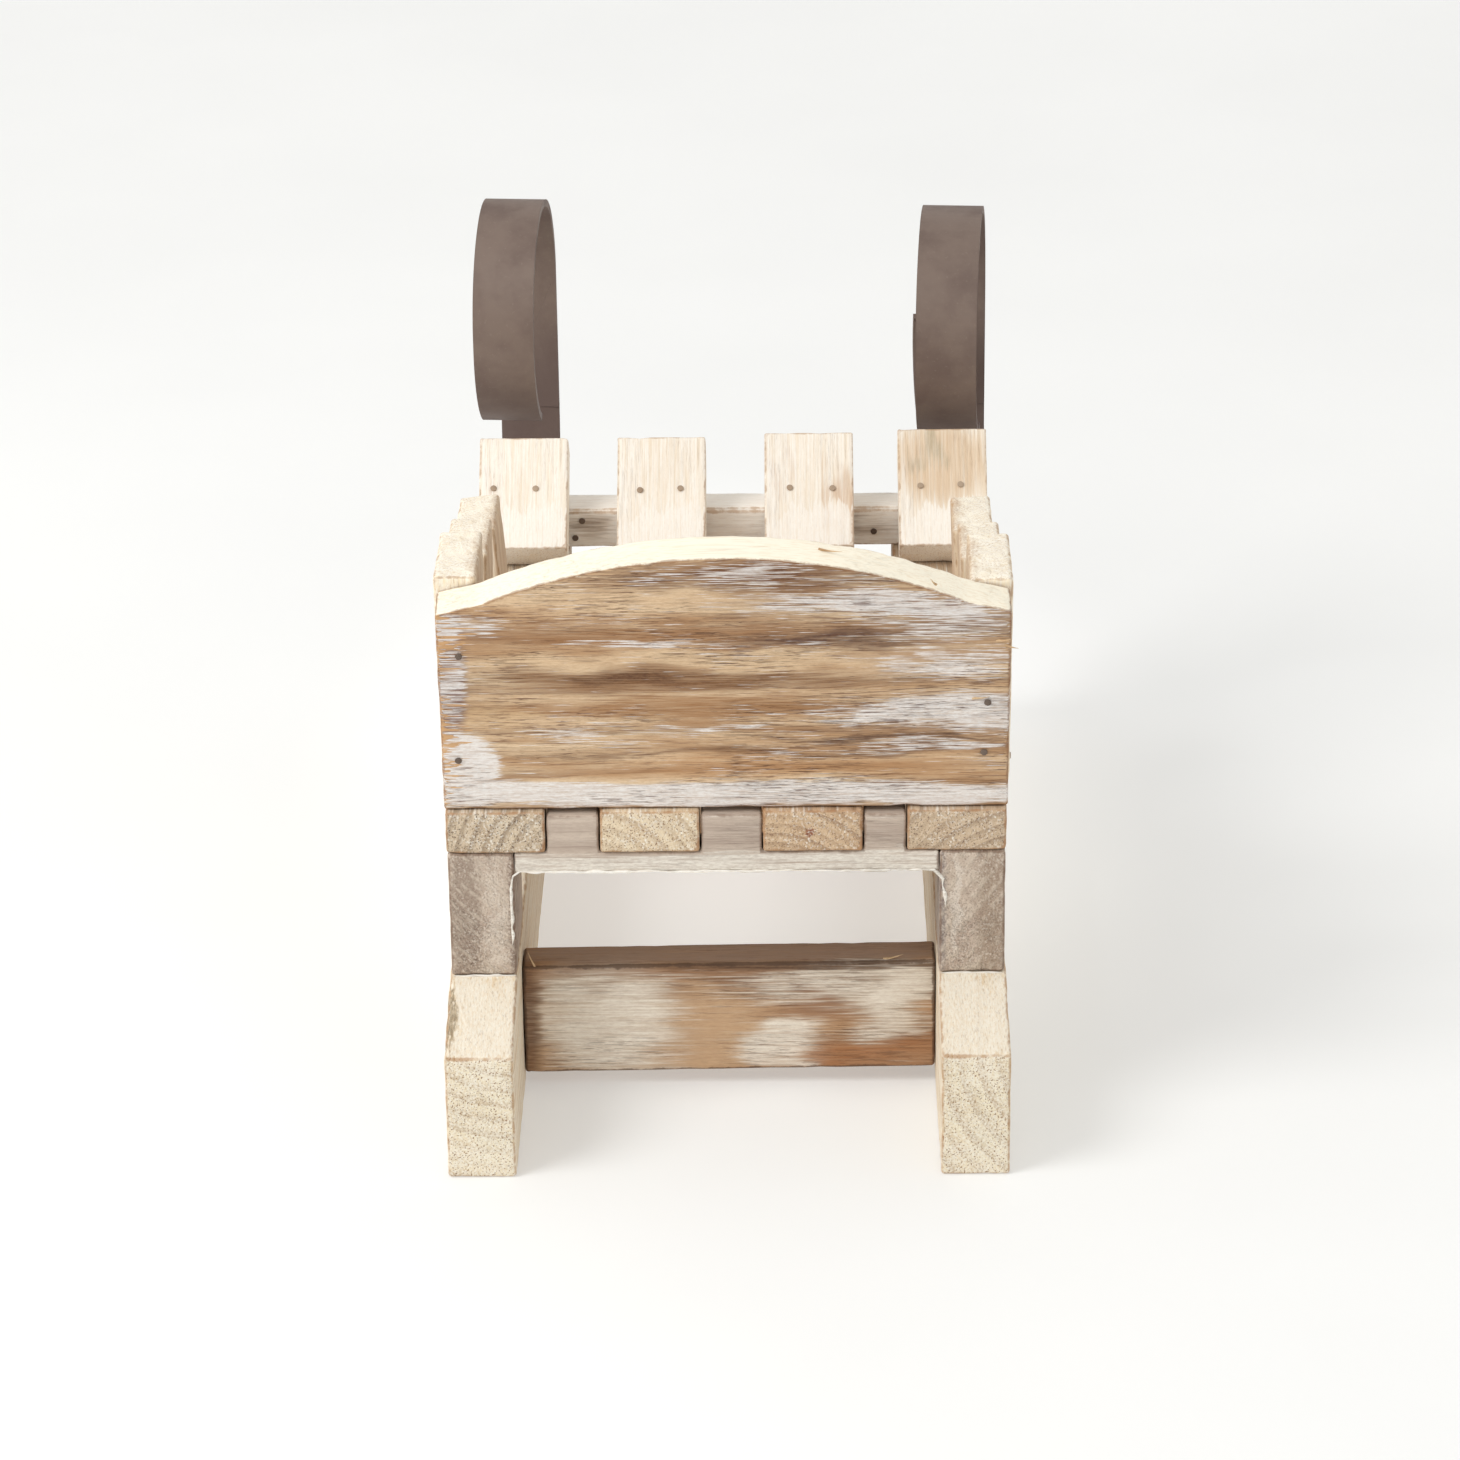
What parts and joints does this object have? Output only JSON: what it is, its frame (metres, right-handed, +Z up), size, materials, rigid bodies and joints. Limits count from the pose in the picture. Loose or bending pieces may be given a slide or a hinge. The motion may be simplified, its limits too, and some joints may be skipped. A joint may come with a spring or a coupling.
{
  "type": "decorative wooden sleigh",
  "caption": "Small plank sleigh with an arched rear board, side pickets, a sloping slat front and steel strap scrolls rising from flat wooden runners.",
  "frame": {"origin": "on the ground plane, at the middle of the overall box", "axes": "+Z up, +Y from the arched rear board towards the scrolls, +X to the right when seen from behind"},
  "size_m": [0.2048, 0.397, 0.2434],
  "materials": {
    "stained_wood": "brown stain with brushed white wash, dry",
    "whitewashed_wood": "white wash over pale wood, dry",
    "sawn_wood": "rough sawn, grey",
    "strap_steel": "matte brown-grey",
    "nail_steel": "dull, slightly rusted"
  },
  "bodies": {
    "root": {"floor_plank_1": "stained_wood", "floor_plank_2": "stained_wood", "floor_plank_3": "stained_wood", "floor_plank_4": "stained_wood", "rear_batten": "whitewashed_wood", "front_batten": "whitewashed_wood", "rear_board": "stained_wood", "left_rear_picket": "whitewashed_wood", "left_middle_picket": "whitewashed_wood", "left_front_picket": "whitewashed_wood", "right_rear_picket": "whitewashed_wood", "right_middle_picket": "whitewashed_wood", "right_front_picket": "whitewashed_wood", "front_slat_1": "whitewashed_wood", "front_slat_2": "whitewashed_wood", "front_slat_3": "whitewashed_wood", "front_slat_4": "whitewashed_wood", "front_rail": "whitewashed_wood", "left_rear_leg": "sawn_wood", "right_rear_leg": "sawn_wood", "left_front_leg": "sawn_wood", "right_front_leg": "sawn_wood", "left_runner": "whitewashed_wood", "right_runner": "whitewashed_wood", "rear_crossbar": "stained_wood", "front_crossbar": "stained_wood", "left_scroll": "strap_steel", "right_scroll": "strap_steel", "rear_board_nails": "nail_steel", "slat_nails": "nail_steel", "rail_nails": "nail_steel", "picket_nails": "nail_steel", "crossbar_nails": "nail_steel", "strap_screws": "nail_steel"}
  },
  "joints": []
}
